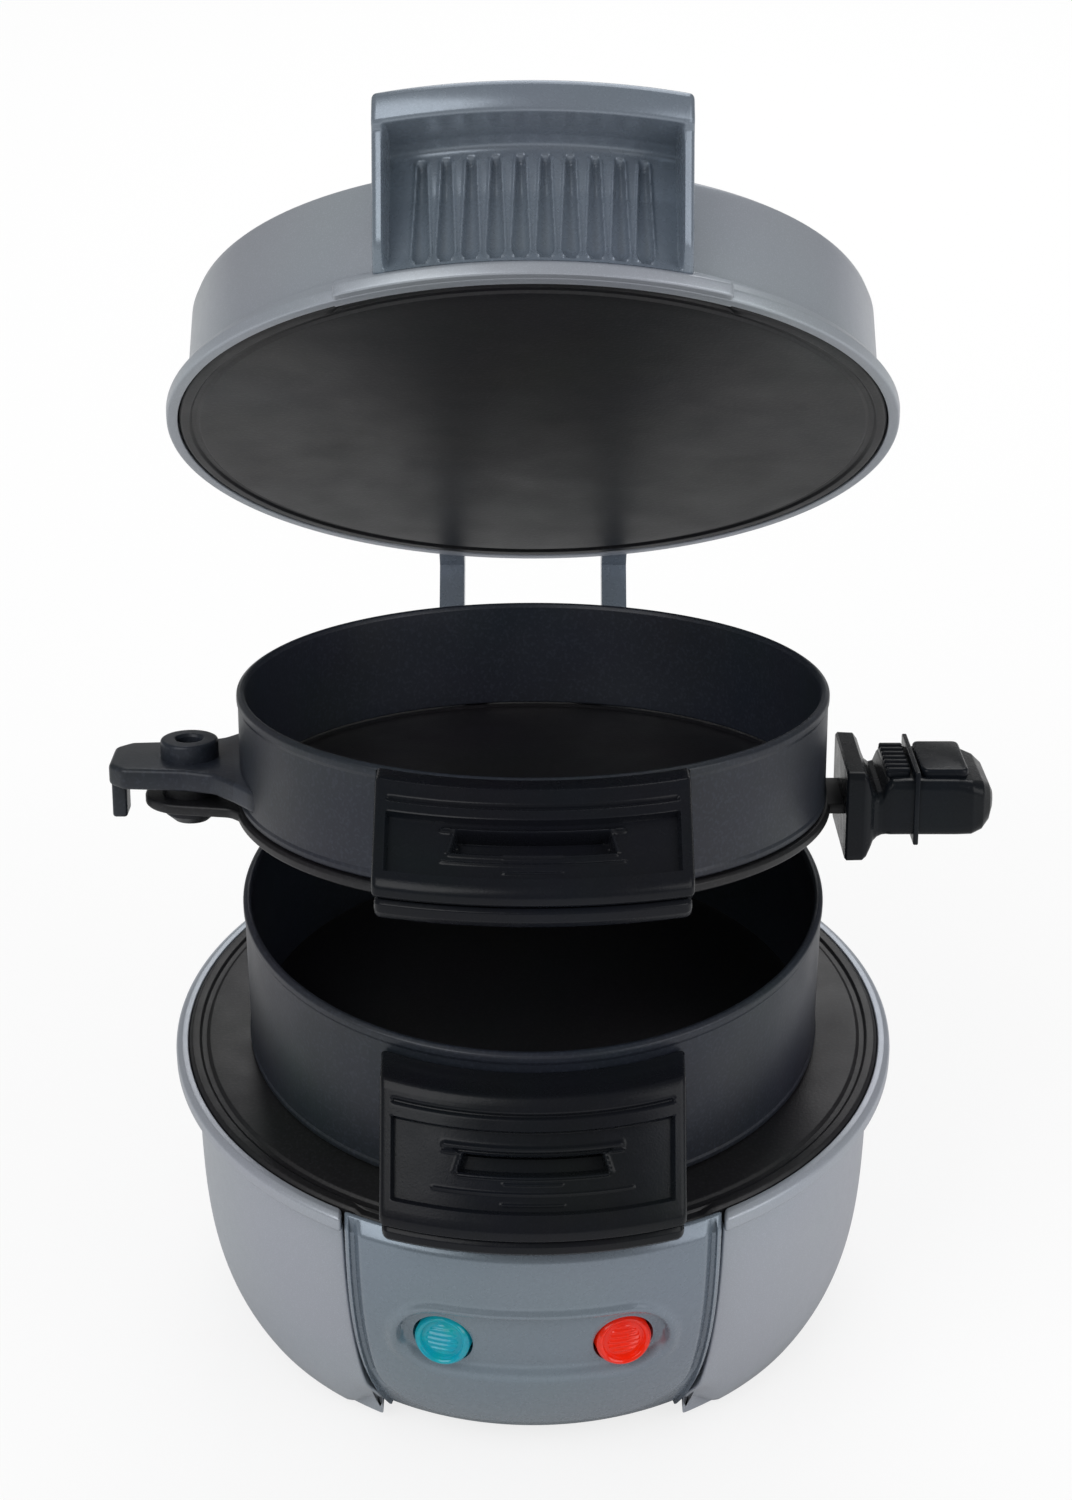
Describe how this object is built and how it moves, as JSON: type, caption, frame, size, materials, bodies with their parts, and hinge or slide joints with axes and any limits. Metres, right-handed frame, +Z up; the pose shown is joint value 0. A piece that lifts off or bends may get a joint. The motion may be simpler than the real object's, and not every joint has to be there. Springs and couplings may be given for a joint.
{
  "type": "breakfast sandwich maker",
  "caption": "Round electric sandwich maker standing open: bowl-shaped base with pilot lights, two hinged rings, a swing-out cooking plate and a hinged lid with a heating plate.",
  "frame": {"origin": "centre of the base on the plane that its feet stand on", "axes": "+Z up, -Y towards the user and the indicator lights, +Y to the hinge, +X to the cooking plate's grip"},
  "size_m": [0.173, 0.1954, 0.2531],
  "materials": {
    "shell_paint": "satin silver blue-grey paint over moulded plastic and sheet",
    "panel_paint": "satin grey-blue paint",
    "ring_coating": "dark charcoal satin non-stick coating on cast aluminium",
    "plate_coating": "matt black non-stick coating on cast aluminium",
    "handle_plastic": "black heat-resistant plastic, satin",
    "steel": "zinc-plated or bright steel",
    "dark_steel": "blackened steel, satin",
    "shield_steel": "bright rolled sheet",
    "element_steel": "oxidised tube",
    "green_lens": "clear-tinted gloss plastic",
    "red_lens": "clear-tinted gloss plastic",
    "ceramic": "ivory heat-resistant moulding",
    "rubber": "soft black rubber",
    "cover_plastic": "black moulded plastic, fine texture"
  },
  "bodies": {
    "base": {"base_shell": "shell_paint", "front_panel": "panel_paint", "green_lens": "green_lens", "red_lens": "red_lens", "indicator_lamps": "ceramic", "bottom_cover": "cover_plastic", "feet": "rubber", "lower_heating_plate": "plate_coating", "lower_heating_element": "element_steel", "lower_heat_shield": "shield_steel", "thermostat": "ceramic", "thermal_fuse": "ceramic", "terminal_block": "ceramic", "lower_plate_screws": "steel", "bottom_screws": "steel", "hinge_tower": "panel_paint", "hinge_pin": "steel", "cord_bushing": "rubber"},
    "lower_ring": {"lower_ring": "ring_coating", "lower_ring_handle": "handle_plastic", "lower_handle_lip": "handle_plastic", "lower_handle_screws": "steel", "lower_ring_bracket": "ring_coating"},
    "top_ring": {"top_ring": "ring_coating", "top_ring_handle": "handle_plastic", "top_handle_lip": "handle_plastic", "top_handle_screws": "steel", "top_ring_bracket": "ring_coating"},
    "cooking_plate": {"cooking_plate": "plate_coating", "plate_grip": "handle_plastic", "plate_grip_cap": "handle_plastic", "plate_grip_screw": "steel", "pivot_stud": "dark_steel"},
    "lid": {"lid_cover": "shell_paint", "lid_handle": "panel_paint", "upper_heating_plate": "plate_coating", "upper_heating_element": "element_steel", "lid_heat_shield": "shield_steel", "upper_thermal_fuse": "ceramic", "upper_plate_screws": "steel", "lid_hinge_arm": "panel_paint"}
  },
  "joints": [
    {"name": "lower_ring_hinge", "type": "hinge", "parent": "base", "child": "lower_ring", "pos_m": [0, 0.0826, 0.086], "axis": [-1, 0, 0], "range_deg": [0, 20]},
    {"name": "top_ring_hinge", "type": "hinge", "parent": "lower_ring", "child": "top_ring", "pos_m": [0, 0.0826, 0.086], "axis": [-1, 0, 0], "range_deg": [-12, 18]},
    {"name": "lid_hinge", "type": "hinge", "parent": "top_ring", "child": "lid", "pos_m": [0, 0.0826, 0.086], "axis": [-1, 0, 0], "range_deg": [-35, 45]},
    {"name": "plate_swing", "type": "hinge", "parent": "top_ring", "child": "cooking_plate", "pos_m": [-0.0676, 0.00388, 0.11295], "axis": [0, -0.2079, -0.9781], "range_deg": [0, 110]}
  ]
}
